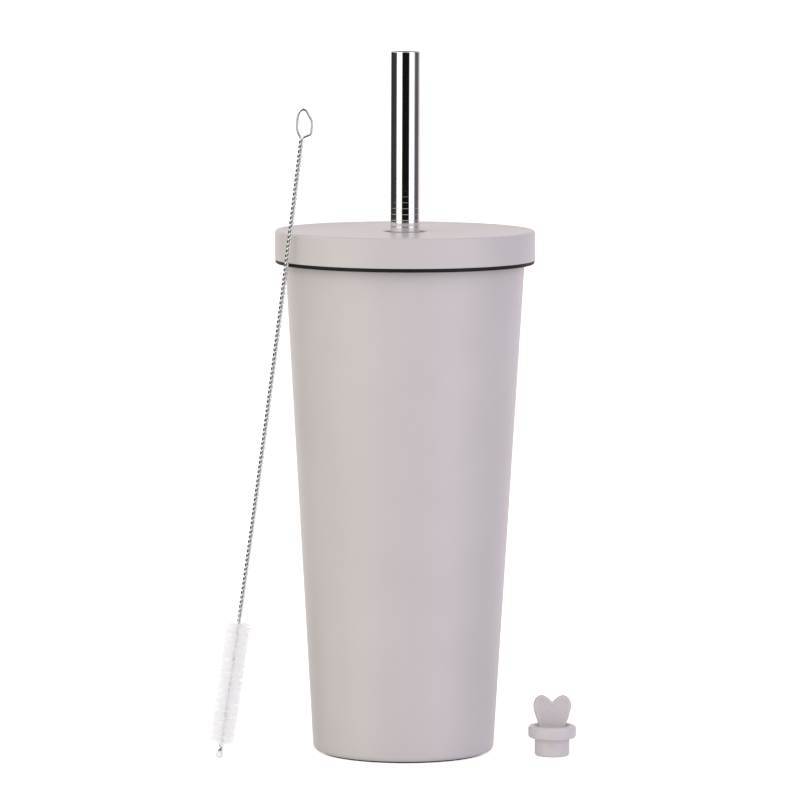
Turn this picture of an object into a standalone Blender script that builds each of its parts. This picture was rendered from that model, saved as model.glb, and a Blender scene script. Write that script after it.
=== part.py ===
"""Insulated straw tumbler with a screw lid, and the straw, straw-hole plug and straw brush that go with it.

Blender 4.5. Metres, +Z up. The origin is the centre of the cup's underside, the cup's axis is Z and its
front is -Y. Every separate piece of the real object is one object here, and a moving piece has its origin
on its joint's axis. Run it with: blender --background --python part.py
"""

import math

import bmesh
import bpy
from mathutils import Vector

MM = 0.001
GAP = 0.3 * MM  # between neighbouring pieces
TURN_STEPS = 48  # facets round a large turned piece
SMALL_STEPS = 24  # facets round a small turned piece
MERGE = 1e-6  # merge distance for points on a turned piece's axis
SHARP_ANGLE = math.radians(35)

# Cup: a tapered double wall of thin steel sheet.
SHEET = 0.5 * MM
TAPER_FOOT_RADIUS = 36.0 * MM  # outer wall carried down to z = 0
TAPER_TOP_RADIUS = 47.5 * MM
TAPER_TOP_Z = 195.0 * MM
SHELL_TOP_Z = 197.5 * MM
SHELL_FOOT_Z = 0.65 * MM  # the shell's rim stands on the non-slip pad
FOOT_CORNER_RADIUS = 2.4 * MM
FOOT_RING_INNER_RADIUS = 31.1 * MM
FOOT_FLANGE_TOP_Z = 3.4 * MM
FOOT_FLANGE_BEND = 0.8 * MM
RIM_Z = 199.0 * MM
RIM_ROLL_RADIUS = 1.2 * MM
NECK_RADIUS = 45.3 * MM  # inside the mouth, where the lid's thread works
NECK_BOTTOM_Z = 181.0 * MM
SHOULDER_BOTTOM_Z = 176.0 * MM
WALL_SPACE = 3.7 * MM  # outer face of the outer wall to the drink side of the inner wall
LINER_FLOOR_Z = 14.0 * MM
LINER_CORNER_RADIUS = 8.0 * MM

# Base: a dished plate, the glass bead in its vacuum port, the getter and a non-slip pad.
PLATE_Z = 2.2 * MM
PLATE_RIM_BOTTOM_Z = 1.1 * MM
PLATE_RIM_FILLET = 0.2 * MM
PORT_RADIUS = 0.75 * MM
PORT_DIMPLE_RADIUS = 5.0 * MM
PORT_DIMPLE_DEPTH = 1.4 * MM
PORT_BEAD_RADIUS = 3.6 * MM
PORT_BEAD_HEIGHT = 0.9 * MM
GETTER_RADIUS = 4.0 * MM
GETTER_THICKNESS = 1.6 * MM
GETTER_OFFSET = 16.0 * MM
GETTER_CHAMFER = 0.3 * MM
PAD_RADIUS = 33.0 * MM
PAD_STEP_RADIUS = 29.8 * MM
PAD_RIM_THICKNESS = 0.35 * MM
PAD_TOP_Z = 1.8 * MM
PAD_CHAMFER = 0.3 * MM
PAD_EDGE = 0.1 * MM

# Lid: a painted steel cap over a black moulded liner, with a seal ring and a straw grommet.
LID_RADIUS = 51.75 * MM
LID_TOP_Z = 209.0 * MM
LID_EDGE_RADIUS = 1.0 * MM
LID_DISH_RADIUS = 48.5 * MM
LID_DISH_DEPTH = 0.6 * MM
LID_DISH_SLOPE = 4.0 * MM
CAP_BOTTOM_Z = 197.25 * MM
STRAW_HOLE_RADIUS = 8.4 * MM
STRAW_HOLE_LIP_Z = 206.9 * MM
STRAW_HOLE_ROUND = 0.8 * MM
LIP_RADIUS = 51.55 * MM  # the liner's black lip, seen under the cap
LIP_BOTTOM_Z = 195.75 * MM
LIP_FLAT_RADIUS = 48.9 * MM
SKIRT_RADIUS = LID_RADIUS - SHEET - GAP
CHANNEL_ROOF_Z = 201.3 * MM
LINER_WALL = 1.8 * MM
PLUG_WALL_RADIUS = 43.9 * MM
PLUG_WALL_INNER_RADIUS = 41.9 * MM
PLUG_WALL_BOTTOM_Z = 184.0 * MM
LINER_TOP_Z = 207.3 * MM
LINER_HUB_TOP_Z = 206.2 * MM
LINER_HUB_RADIUS = 9.6 * MM
LINER_HOLE_RADIUS = 7.6 * MM
SKIRT_TOP_Z = LINER_TOP_Z - 0.7 * MM
LINER_CHAMFER = 0.6 * MM
HUB_SLOPE = 1.0 * MM  # from the liner's disc down to its sunk hub
SEAL_INNER_RADIUS = 44.3 * MM
SEAL_OUTER_RADIUS = 48.5 * MM
SOFT_EDGE = 0.4 * MM  # chamfer on the soft rings and sleeves

# Screw thread: two helical ridges, one round the mouth and one round the lid's plug wall.
THREAD_LEAD = 4.0 * MM
THREAD_TURNS = 1.25
THREAD_RIDGE = 0.95 * MM
THREAD_END = 0.35  # share of the ridge's radius left at its two ends
THREAD_FADE_STEPS = 5  # facets over which an end tapers
CUP_THREAD_START_Z = 188.0 * MM
CUP_THREAD_RADIUS = NECK_RADIUS - 0.05 * MM
LID_THREAD_RADIUS = PLUG_WALL_RADIUS + 0.05 * MM
LID_THREAD_START_Z = CUP_THREAD_START_Z - THREAD_LEAD / 2

# Straw and its grommet.
STRAW_RADIUS = 6.0 * MM
STRAW_WALL = 0.5 * MM
STRAW_BOTTOM_Z = LINER_FLOOR_Z + GAP
STRAW_LENGTH = 265.4 * MM
GROMMET_BORE = 6.4 * MM
GROMMET_TOP_Z = 207.7 * MM
GROMMET_BOTTOM_Z = 202.2 * MM
GROMMET_WAIST = LINER_HOLE_RADIUS - GAP
GROMMET_FLANGE_RADIUS = 8.1 * MM
GROMMET_FOOT_RADIUS = 9.0 * MM

# Straw-hole plug with its heart-shaped grip, standing beside the cup.
PLUG_PLACE = Vector((59.3 * MM, -11.3 * MM, 0.0))
PLUG_STUB_RADIUS = 6.95 * MM
PLUG_STUB_HEIGHT = 7.2 * MM
PLUG_FLANGE_RADIUS = 9.55 * MM
PLUG_FLANGE_TOP_Z = 12.2 * MM
PLUG_DISH_DEPTH = 1.5 * MM
PLUG_DISH_SLOPE = 1.8 * MM
PLUG_RIM_DROP = 0.2 * MM
PLUG_EDGE_RADIUS = 0.8 * MM
HEART_TOP_Z = 24.3 * MM
HEART_NOTCH_Z = 21.5 * MM
HEART_WIDEST_Z = 20.0 * MM
HEART_HALF_WIDTH = 7.6 * MM
HEART_CREST = 4.35 * MM  # from the middle to the top of each lobe
HEART_STEM_HALF_WIDTH = 4.7 * MM
HEART_ROOT = 1.0 * MM  # how far the grip reaches into the flange
HEART_NOTCH_PULL = (0.9 * MM, 1.0 * MM)  # the outline's handles: how far each knot pulls the curve
HEART_CREST_PULL = 1.9 * MM
HEART_SHOULDER_PULL = 2.1 * MM
HEART_FLANK_PULL = 2.4 * MM
HEART_STEM_PULL = (1.0 * MM, 3.6 * MM)
HEART_THICKNESS = 3.0 * MM
HEART_EDGE = 0.7 * MM

# Straw brush: a twisted wire with a finger loop, a bundle of bristles and a soft tip.
BRUSH_TIP = Vector((-73.06 * MM, -20.82 * MM, 0.0))
BRUSH_TOP = Vector((-39.45 * MM, -32.6 * MM, 258.1 * MM))
BRUSH_BOW = 1.0 * MM  # how far the wire bows sideways at its middle
WIRE_RADIUS = 0.95 * MM  # the twisted pair's envelope
STRAND_RADIUS = 0.48 * MM
LOOP_HALF_WIDTH = 2.85 * MM
LOOP_OFFSET = 0.4 * MM  # the loop's middle stands to one side of the wire
LOOP_HALF_HEIGHT = 5.4 * MM
BRUSH_TIP_LENGTH = 3.0 * MM
BRUSH_TIP_RADIUS = 1.5 * MM
BRISTLE_START = 5.7 * MM  # along the wire from the tip
BRISTLE_LENGTH = 49.0 * MM
BRISTLE_RADIUS = 5.0 * MM


def clear_scene():
    for obj in list(bpy.data.objects):
        bpy.data.objects.remove(obj)


def make_collection(name):
    collection = bpy.data.collections.new(name)
    bpy.context.scene.collection.children.link(collection)
    return collection


def make_material(name, colour, roughness, metallic=0.0, alpha=1.0):
    material = bpy.data.materials.new(name)
    material.use_nodes = True
    shader = material.node_tree.nodes["Principled BSDF"]
    shader.inputs["Base Color"].default_value = (*colour, 1.0)
    shader.inputs["Roughness"].default_value = roughness
    shader.inputs["Metallic"].default_value = metallic
    shader.inputs["Alpha"].default_value = alpha
    material.diffuse_color = (*colour, alpha)
    material.roughness = roughness
    material.metallic = metallic
    return material


def arc(centre_r, centre_z, radius, start, end, points):
    """Profile points (r, z) along a round, from one angle to another in degrees."""
    angles = [math.radians(start + (end - start) * i / (points - 1)) for i in range(points)]
    return [(centre_r + radius * math.cos(a), centre_z + radius * math.sin(a)) for a in angles]


def place_in(collection, name, data, material):
    obj = bpy.data.objects.new(name, data)
    data.materials.append(material)
    collection.objects.link(obj)
    return obj


def profile_mesh(name, profile, closed):
    """A wire of profile points at +X, running down the outer side."""
    mesh = bpy.data.meshes.new(name)
    edges = [(i, i + 1) for i in range(len(profile) - 1)]
    if closed:
        edges.append((len(profile) - 1, 0))
    mesh.from_pydata([(r, 0.0, z) for r, z in profile], edges, [])
    return mesh


def turned(collection, name, profile, material, closed=True, steps=TURN_STEPS):
    """A solid of revolution about the object's own Z axis."""
    obj = place_in(collection, name, profile_mesh(name, profile, closed), material)
    screw = obj.modifiers.new("Turn", "SCREW")
    screw.steps = steps
    screw.render_steps = steps
    screw.use_merge_vertices = True
    screw.merge_threshold = MERGE
    screw.use_smooth_shade = True
    return obj


def sheet(obj, thickness=SHEET):
    """Gives a turned surface the thickness of its sheet, on the side away from its face."""
    solid = obj.modifiers.new("Sheet", "SOLIDIFY")
    solid.thickness = thickness
    solid.offset = -1.0
    solid.use_even_offset = True
    return obj


def poly_curve(name, points, radius, cyclic=False, taper=None, resolution=2):
    """A round wire through the points, with a flat cap on each end. taper scales its radius at each point."""
    curve = bpy.data.curves.new(name, "CURVE")
    curve.dimensions = "3D"
    curve.bevel_depth = radius
    curve.bevel_resolution = resolution
    curve.use_fill_caps = True
    spline = curve.splines.new("POLY")
    spline.points.add(len(points) - 1)
    for i, point in enumerate(points):
        spline.points[i].co = (*point, 1.0)
        spline.points[i].radius = taper[i] if taper else 1.0
    spline.use_cyclic_u = cyclic
    return curve


def as_mesh_object(collection, name, curve, material, place=(0.0, 0.0, 0.0)):
    """Turns a curve into a welded mesh object, which can be cut or joined."""
    source = bpy.data.objects.new(name + "_curve", curve)
    source.location = place
    collection.objects.link(source)
    bpy.context.view_layer.update()
    graph = bpy.context.evaluated_depsgraph_get()
    mesh = bpy.data.meshes.new_from_object(source.evaluated_get(graph))
    matrix = source.matrix_world.copy()
    bpy.data.objects.remove(source)
    bm = bmesh.new()
    bm.from_mesh(mesh)
    bmesh.ops.remove_doubles(bm, verts=bm.verts, dist=MERGE)
    bmesh.ops.recalc_face_normals(bm, faces=bm.faces)
    bm.to_mesh(mesh)
    bm.free()
    mesh.materials.clear()
    obj = place_in(collection, name, mesh, material)
    obj.matrix_world = matrix
    return obj


def as_helper(obj):
    """Marks an object as a tool that isn't itself part of the tumbler."""
    obj.hide_render = True
    obj.display_type = "WIRE"
    return obj


def join_with(obj, tool):
    union = obj.modifiers.new("Join " + tool.name, "BOOLEAN")
    union.operation = "UNION"
    union.solver = "EXACT"
    union.object = as_helper(tool)
    return obj


def shade_round(obj):
    """Smooth shading with crisp edges, on an object whose shape is its own mesh."""
    obj.data.shade_smooth()
    obj.data.set_sharp_from_angle(angle=SHARP_ANGLE)


def wall_radius(z):
    """Outer radius of the tapered wall at a height."""
    return TAPER_FOOT_RADIUS + (TAPER_TOP_RADIUS - TAPER_FOOT_RADIUS) * z / TAPER_TOP_Z


def thread_ridge(helpers, name, radius, start_z, material):
    """A right-handed helical ridge whose ends taper away into the wall."""
    steps = round(TURN_STEPS * THREAD_TURNS)
    points = []
    taper = []
    for i in range(steps + 1):
        angle = math.tau * i / TURN_STEPS
        z = start_z + THREAD_LEAD * i / TURN_STEPS
        points.append((radius * math.cos(angle), radius * math.sin(angle), z))
        fade = min(i, steps - i) / THREAD_FADE_STEPS
        taper.append(min(1.0, THREAD_END + (1.0 - THREAD_END) * fade))
    curve = poly_curve(name, points, THREAD_RIDGE, taper=taper, resolution=1)
    return as_mesh_object(helpers, name, curve, material)


def make_outer_shell(parts, material):
    """The painted outer wall: straight taper, rounded foot corner, flat ring and an upturned flange."""
    foot_edge = wall_radius(FOOT_CORNER_RADIUS) - FOOT_CORNER_RADIUS
    corner = arc(foot_edge, SHELL_FOOT_Z + FOOT_CORNER_RADIUS, FOOT_CORNER_RADIUS, 0, -90, 5)
    turn_up = FOOT_FLANGE_BEND
    bend = arc(FOOT_RING_INNER_RADIUS + turn_up, SHELL_FOOT_Z + turn_up, turn_up, -90, -180, 3)
    profile = [(wall_radius(SHELL_TOP_Z), SHELL_TOP_Z)]
    profile += corner
    profile += bend
    profile.append((FOOT_RING_INNER_RADIUS, FOOT_FLANGE_TOP_Z))
    return sheet(turned(parts, "outer_shell", profile, material, closed=False))


def make_inner_liner(parts, helpers, material):
    """The bare steel inner vessel: floor, taper, shoulder, threaded neck and rolled drinking rim."""
    floor_edge = wall_radius(LINER_FLOOR_Z + LINER_CORNER_RADIUS) - WALL_SPACE
    bend = LINER_CORNER_RADIUS
    corner = arc(floor_edge - bend, LINER_FLOOR_Z + bend, bend, -90, 0, 5)
    roll_centre = NECK_RADIUS + RIM_ROLL_RADIUS
    roll = arc(roll_centre, RIM_Z - RIM_ROLL_RADIUS, RIM_ROLL_RADIUS, 180, 0, 7)
    profile = [(0.0, LINER_FLOOR_Z)]
    profile += corner
    profile.append((wall_radius(SHOULDER_BOTTOM_Z) - WALL_SPACE, SHOULDER_BOTTOM_Z))
    profile.append((NECK_RADIUS, NECK_BOTTOM_Z))
    profile += roll
    liner = sheet(turned(parts, "inner_liner", profile, material, closed=False))
    ridge = thread_ridge(helpers, "mouth_thread", CUP_THREAD_RADIUS, CUP_THREAD_START_Z, material)
    return join_with(liner, ridge)


def make_base_plate(parts, material):
    """A dished steel disc with its rim turned down, and a dimple round the vacuum port in its middle."""
    rim = FOOT_RING_INNER_RADIUS - GAP
    dimple_z = PLATE_Z + PORT_DIMPLE_DEPTH
    profile = [
        (PORT_RADIUS, dimple_z + SHEET),
        (PORT_DIMPLE_RADIUS - SHEET, dimple_z + SHEET),
        (PORT_DIMPLE_RADIUS + SHEET, PLATE_Z + SHEET),
        (rim - SHEET, PLATE_Z + SHEET),
        (rim, PLATE_Z),
        (rim, PLATE_RIM_BOTTOM_Z),
        (rim - SHEET, PLATE_RIM_BOTTOM_Z),
        (rim - SHEET, PLATE_Z - PLATE_RIM_FILLET),
        (rim - SHEET - PLATE_RIM_FILLET, PLATE_Z),
        (PORT_DIMPLE_RADIUS + 0.5 * SHEET, PLATE_Z),
        (PORT_DIMPLE_RADIUS - 1.5 * SHEET, dimple_z),
        (PORT_RADIUS, dimple_z),
    ]
    return turned(parts, "base_plate", profile, material)


def make_port_bead(parts, material):
    """The solder-glass bead that closes the vacuum port, in the plate's dimple."""
    top = PLATE_Z + PORT_DIMPLE_DEPTH - GAP
    profile = [(0.0, top)]
    for degrees in (0, 25, 50, 70):
        angle = math.radians(degrees)
        profile.append((PORT_BEAD_RADIUS * math.cos(angle), top - PORT_BEAD_HEIGHT * math.sin(angle)))
    profile.append((0.0, top - PORT_BEAD_HEIGHT))
    return turned(parts, "port_bead", profile, material, closed=False, steps=SMALL_STEPS)


def make_getter(parts, material):
    """The getter pellet that keeps the vacuum, on the inner side of the base plate."""
    bottom = PLATE_Z + SHEET + GAP
    top = bottom + GETTER_THICKNESS
    profile = [
        (0.0, top),
        (GETTER_RADIUS - GETTER_CHAMFER, top),
        (GETTER_RADIUS, top - GETTER_CHAMFER),
        (GETTER_RADIUS, bottom),
        (0.0, bottom),
    ]
    getter = turned(parts, "getter", profile, material, closed=False, steps=SMALL_STEPS)
    getter.location.x = GETTER_OFFSET
    return getter


def make_base_pad(parts, material):
    """The non-slip pad: a thin disc under the foot ring, with a step that fills the base's hollow."""
    profile = [
        (0.0, PAD_TOP_Z),
        (PAD_STEP_RADIUS - PAD_CHAMFER, PAD_TOP_Z),
        (PAD_STEP_RADIUS, PAD_TOP_Z - PAD_CHAMFER),
        (PAD_STEP_RADIUS, PAD_RIM_THICKNESS),
        (PAD_RADIUS, PAD_RIM_THICKNESS),
        (PAD_RADIUS, PAD_EDGE),
        (PAD_RADIUS - PAD_EDGE, 0.0),
        (0.0, 0.0),
    ]
    return turned(parts, "base_pad", profile, material, closed=False)


def make_lid_cap(parts, material):
    """The painted steel cap: straight side, small top round, shallow dish and a turned-down straw hole."""
    lip = STRAW_HOLE_ROUND
    dish_z = LID_TOP_Z - LID_DISH_DEPTH
    profile = [(STRAW_HOLE_RADIUS, STRAW_HOLE_LIP_Z)]
    profile += arc(STRAW_HOLE_RADIUS + lip, dish_z - lip, lip, 180, 90, 4)
    profile.append((LID_DISH_RADIUS - LID_DISH_SLOPE, dish_z))
    profile.append((LID_DISH_RADIUS, LID_TOP_Z))
    profile += arc(LID_RADIUS - LID_EDGE_RADIUS, LID_TOP_Z - LID_EDGE_RADIUS, LID_EDGE_RADIUS, 90, 0, 5)
    profile.append((LID_RADIUS, CAP_BOTTOM_Z))
    return sheet(turned(parts, "lid_cap", profile, material, closed=False))


def make_lid_liner(parts, helpers, material):
    """The black moulding inside the cap: skirt and lip, seal channel, threaded plug wall and straw hub."""
    lip_round = LIP_RADIUS - LIP_FLAT_RADIUS
    lip_top = CAP_BOTTOM_Z - GAP
    lip_drop = lip_top - LIP_BOTTOM_Z
    profile = [
        (SKIRT_RADIUS - LINER_WALL, SKIRT_TOP_Z),
        (SKIRT_RADIUS - LINER_CHAMFER, SKIRT_TOP_Z),
        (SKIRT_RADIUS, SKIRT_TOP_Z - LINER_CHAMFER),
        (SKIRT_RADIUS, lip_top),
        (LIP_RADIUS, lip_top),
    ]
    for k in (1, 2, 3, 4):
        turn = math.radians(22.5 * k)
        r = LIP_FLAT_RADIUS + lip_round * math.cos(turn)
        profile.append((r, lip_top - lip_drop * math.sin(turn)))
    profile += [
        (LIP_FLAT_RADIUS, CHANNEL_ROOF_Z),
        (PLUG_WALL_RADIUS, CHANNEL_ROOF_Z),
        (PLUG_WALL_RADIUS, PLUG_WALL_BOTTOM_Z + LINER_CHAMFER),
        (PLUG_WALL_RADIUS - LINER_CHAMFER, PLUG_WALL_BOTTOM_Z),
        (PLUG_WALL_INNER_RADIUS, PLUG_WALL_BOTTOM_Z),
        (PLUG_WALL_INNER_RADIUS, LINER_TOP_Z - LINER_WALL - HUB_SLOPE),
        (PLUG_WALL_INNER_RADIUS - HUB_SLOPE, LINER_TOP_Z - LINER_WALL),
        (LINER_HUB_RADIUS + 2 * HUB_SLOPE, LINER_TOP_Z - LINER_WALL),
        (LINER_HUB_RADIUS + HUB_SLOPE, LINER_HUB_TOP_Z - LINER_WALL),
        (LINER_HOLE_RADIUS, LINER_HUB_TOP_Z - LINER_WALL),
        (LINER_HOLE_RADIUS, LINER_HUB_TOP_Z),
        (LINER_HUB_RADIUS, LINER_HUB_TOP_Z),
        (LINER_HUB_RADIUS + HUB_SLOPE, LINER_TOP_Z),
        (PLUG_WALL_RADIUS, LINER_TOP_Z),
        (PLUG_WALL_RADIUS, CHANNEL_ROOF_Z + LINER_WALL),
        (SKIRT_RADIUS - LINER_WALL, CHANNEL_ROOF_Z + LINER_WALL),
    ]
    liner = turned(parts, "lid_liner", profile, material)
    ridge = thread_ridge(helpers, "plug_thread", LID_THREAD_RADIUS, LID_THREAD_START_Z, material)
    return join_with(liner, ridge)


def make_lid_seal(parts, material):
    """The silicone ring in the roof of the liner's channel, which presses on the drinking rim."""
    bottom = RIM_Z + GAP
    top = CHANNEL_ROOF_Z - GAP
    profile = [
        (SEAL_INNER_RADIUS, top),
        (SEAL_OUTER_RADIUS, top),
        (SEAL_OUTER_RADIUS, bottom + SOFT_EDGE),
        (SEAL_OUTER_RADIUS - SOFT_EDGE, bottom),
        (SEAL_INNER_RADIUS + SOFT_EDGE, bottom),
        (SEAL_INNER_RADIUS, bottom + SOFT_EDGE),
    ]
    return turned(parts, "lid_seal", profile, material)


def make_straw_grommet(parts, material):
    """The soft bush in the lid's hub that grips the straw: a flange above and below a narrow waist."""
    seat = LINER_HUB_TOP_Z + GAP
    underside = LINER_HUB_TOP_Z - LINER_WALL - GAP
    profile = [
        (GROMMET_BORE, GROMMET_TOP_Z),
        (GROMMET_FLANGE_RADIUS - SOFT_EDGE, GROMMET_TOP_Z),
        (GROMMET_FLANGE_RADIUS, GROMMET_TOP_Z - SOFT_EDGE),
        (GROMMET_FLANGE_RADIUS, seat),
        (GROMMET_WAIST, seat),
        (GROMMET_WAIST, underside),
        (GROMMET_FOOT_RADIUS, underside),
        (GROMMET_WAIST, GROMMET_BOTTOM_Z),
        (GROMMET_BORE, GROMMET_BOTTOM_Z),
    ]
    return turned(parts, "straw_grommet", profile, material, steps=SMALL_STEPS * 2)


def make_straw(parts, material):
    """A plain steel tube with both ends rounded over."""
    top = STRAW_BOTTOM_Z + STRAW_LENGTH
    middle = STRAW_RADIUS - STRAW_WALL / 2
    round_end = STRAW_WALL / 2
    profile = arc(middle, top - round_end, round_end, 180, 0, 5)
    profile += arc(middle, STRAW_BOTTOM_Z + round_end, round_end, 0, -180, 5)
    return turned(parts, "straw", profile, material, steps=SMALL_STEPS + 12)


def heart_outline():
    """Bezier knots of the right half as (point, handle before, handle after), from the notch down."""
    stem_z = PLUG_FLANGE_TOP_Z - PLUG_DISH_DEPTH - HEART_ROOT
    notch = (0.0, HEART_NOTCH_Z)
    after_notch = (HEART_NOTCH_PULL[0], HEART_NOTCH_Z + HEART_NOTCH_PULL[1])
    crest = (HEART_CREST, HEART_TOP_Z)
    before_crest = (HEART_CREST - HEART_CREST_PULL, HEART_TOP_Z)
    after_crest = (HEART_CREST + HEART_CREST_PULL, HEART_TOP_Z)
    widest = (HEART_HALF_WIDTH, HEART_WIDEST_Z)
    before_widest = (HEART_HALF_WIDTH, HEART_WIDEST_Z + HEART_SHOULDER_PULL)
    after_widest = (HEART_HALF_WIDTH, HEART_WIDEST_Z - HEART_FLANK_PULL)
    stem = (HEART_STEM_HALF_WIDTH, stem_z)
    before_stem = (HEART_STEM_HALF_WIDTH + HEART_STEM_PULL[0], stem_z + HEART_STEM_PULL[1])
    return [
        (notch, notch, after_notch),
        (crest, before_crest, after_crest),
        (widest, before_widest, after_widest),
        (stem, before_stem, stem),
    ]


def make_heart(helpers, material):
    """The heart-shaped grip as a flat outline, extruded with rounded edges."""
    curve = bpy.data.curves.new("plug_heart", "CURVE")
    curve.dimensions = "2D"
    curve.fill_mode = "BOTH"
    curve.resolution_u = 5
    curve.extrude = HEART_THICKNESS / 2 - HEART_EDGE
    curve.bevel_depth = HEART_EDGE
    curve.bevel_resolution = 2
    curve.offset = -HEART_EDGE
    right = heart_outline()
    left = [((-p[0], p[1]), (-b[0], b[1]), (-a[0], a[1])) for p, a, b in reversed(right[1:])]
    outline = right + left
    spline = curve.splines.new("BEZIER")
    spline.use_cyclic_u = True
    spline.bezier_points.add(len(outline) - 1)
    for knot, (point, before, after) in zip(spline.bezier_points, outline):
        knot.handle_left_type = knot.handle_right_type = "FREE"
        knot.co = (*point, 0.0)
        knot.handle_left = (*before, 0.0)
        knot.handle_right = (*after, 0.0)
    heart = as_mesh_object(helpers, "plug_heart", curve, material)
    heart.rotation_euler.x = math.radians(90)
    heart.location = PLUG_PLACE
    return heart


def make_straw_plug(parts, helpers, material):
    """The silicone plug for the straw hole: stub, dished flange and heart grip in one moulding."""
    edge = PLUG_EDGE_RADIUS
    flange_bottom = PLUG_STUB_HEIGHT
    dish_z = PLUG_FLANGE_TOP_Z - PLUG_DISH_DEPTH
    dish_r = PLUG_FLANGE_RADIUS - 2 * edge
    profile = [(0.0, dish_z)]
    profile.append((dish_r - PLUG_DISH_SLOPE, dish_z))
    profile.append((dish_r, PLUG_FLANGE_TOP_Z - PLUG_RIM_DROP))
    profile += arc(PLUG_FLANGE_RADIUS - edge, PLUG_FLANGE_TOP_Z - edge, edge, 90, 0, 4)
    profile += arc(PLUG_FLANGE_RADIUS - edge, flange_bottom + edge, edge, 0, -90, 4)
    profile.append((PLUG_STUB_RADIUS, flange_bottom))
    profile += arc(PLUG_STUB_RADIUS - edge, edge, edge, 0, -90, 4)
    profile.append((0.0, 0.0))
    plug = turned(parts, "straw_plug", profile, material, closed=False, steps=SMALL_STEPS + 8)
    plug.location = PLUG_PLACE
    return join_with(plug, make_heart(helpers, material))


def brush_frame():
    """The brush's axis from tip to loop, a sideways direction that faces the front, and its length."""
    along = (BRUSH_TOP - BRUSH_TIP).normalized()
    sideways = Vector((0.0, 1.0, 0.0)).cross(along).normalized()
    return along, sideways, (BRUSH_TOP - BRUSH_TIP).length


def on_brush(distance, aside=0.0):
    """A point on the wire's slightly bowed centre line, at a distance from the tip, less BRUSH_TIP."""
    along, sideways, length = brush_frame()
    share = distance / length
    bow = 4 * BRUSH_BOW * share * (1 - share)
    return along * distance + sideways * (aside + bow)


def place_on_brush(obj, distance):
    """Stands a turned piece on the wire, its own Z along the wire."""
    step = 1.0 * MM
    along = (on_brush(distance + step) - on_brush(distance - step)).normalized()
    obj.rotation_euler = Vector((0, 0, 1)).rotation_difference(along).to_euler()
    obj.location = BRUSH_TIP + on_brush(distance)


def make_brush_wire(parts, helpers, material):
    """The twisted pair as one rod of its envelope, joined to its finger loop."""
    length = brush_frame()[2]
    start = BRUSH_TIP_LENGTH + GAP
    end = length - 2 * LOOP_HALF_HEIGHT - GAP
    steps = 16
    stem = [on_brush(start + (end - start) * i / steps) for i in range(steps + 1)]
    rod = poly_curve("brush_wire", stem, WIRE_RADIUS)
    wire = as_mesh_object(parts, "brush_wire", rod, material, BRUSH_TIP)
    centre = length - LOOP_HALF_HEIGHT - STRAND_RADIUS
    loop_steps = 24
    ring = []
    for i in range(loop_steps):
        angle = math.tau * i / loop_steps
        up = (LOOP_HALF_HEIGHT + STRAND_RADIUS / 2) * math.cos(angle)
        ring.append(on_brush(centre + up, LOOP_OFFSET + LOOP_HALF_WIDTH * math.sin(angle)))
    curve = poly_curve("brush_loop", ring, STRAND_RADIUS, cyclic=True)
    loop = as_mesh_object(helpers, "brush_loop", curve, material, BRUSH_TIP)
    shade_round(wire)
    return join_with(wire, loop)


def make_brush_bristles(parts, material):
    """The bundle of bristles round the wire, as one soft sleeve of its full width."""
    half = BRISTLE_LENGTH / 2
    bore = WIRE_RADIUS + GAP
    profile = [
        (bore, half),
        (BRISTLE_RADIUS - SOFT_EDGE, half),
        (BRISTLE_RADIUS, half - SOFT_EDGE),
        (BRISTLE_RADIUS, SOFT_EDGE - half),
        (BRISTLE_RADIUS - SOFT_EDGE, -half),
        (bore, -half),
    ]
    bristles = turned(parts, "brush_bristles", profile, material, steps=SMALL_STEPS)
    place_on_brush(bristles, BRISTLE_START + half)
    return bristles


def make_brush_tip(parts, material):
    """The rounded bead at the brush's end."""
    steps = 6
    profile = []
    for i in range(steps + 1):
        angle = math.pi / 2 - math.pi * i / steps
        z = BRUSH_TIP_LENGTH / 2 * (1 + math.sin(angle))
        profile.append((BRUSH_TIP_RADIUS * max(0.0, math.cos(angle)), z))
    profile[0] = (0.0, BRUSH_TIP_LENGTH)
    profile[-1] = (0.0, 0.0)
    tip = turned(parts, "brush_tip", profile, material, closed=False, steps=16)
    tip.location = BRUSH_TIP
    return tip


def main():
    clear_scene()
    parts = make_collection("straw_tumbler")
    helpers = make_collection("helpers")
    paint = make_material("greige_powder_coat", (0.56, 0.52, 0.52), 0.55)
    steel = make_material("brushed_steel", (0.62, 0.62, 0.61), 0.32, 1.0)
    mirror = make_material("polished_steel", (0.72, 0.71, 0.70), 0.08, 1.0)
    black = make_material("black_plastic", (0.02, 0.02, 0.022), 0.4)
    dark = make_material("dark_silicone", (0.05, 0.05, 0.052), 0.7)
    seal = make_material("clear_silicone", (0.75, 0.75, 0.74), 0.45, alpha=0.9)
    grey = make_material("grey_silicone", (0.54, 0.51, 0.52), 0.5)
    glass = make_material("solder_glass", (0.25, 0.2, 0.14), 0.2)
    pellet = make_material("getter_metal", (0.35, 0.35, 0.36), 0.6, 1.0)
    nylon = make_material("clear_nylon", (0.9, 0.9, 0.92), 0.35, alpha=0.6)
    make_outer_shell(parts, paint)
    make_inner_liner(parts, helpers, steel)
    make_base_plate(parts, steel)
    make_port_bead(parts, glass)
    make_getter(parts, pellet)
    make_base_pad(parts, dark)
    make_lid_cap(parts, paint)
    make_lid_liner(parts, helpers, black)
    make_lid_seal(parts, seal)
    make_straw_grommet(parts, dark)
    make_straw(parts, mirror)
    make_straw_plug(parts, helpers, grey)
    make_brush_wire(parts, helpers, steel)
    make_brush_bristles(parts, nylon)
    make_brush_tip(parts, nylon)


main()
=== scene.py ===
"""The looks of the insulated straw tumbler, its straw-hole plug and its straw brush.

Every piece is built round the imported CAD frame, in metres, with +Z up, the cup's axis on Z and the front
at -Y.
"""

import math
import random

import bpy
import numpy as np
from mathutils import Matrix, Vector


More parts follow.
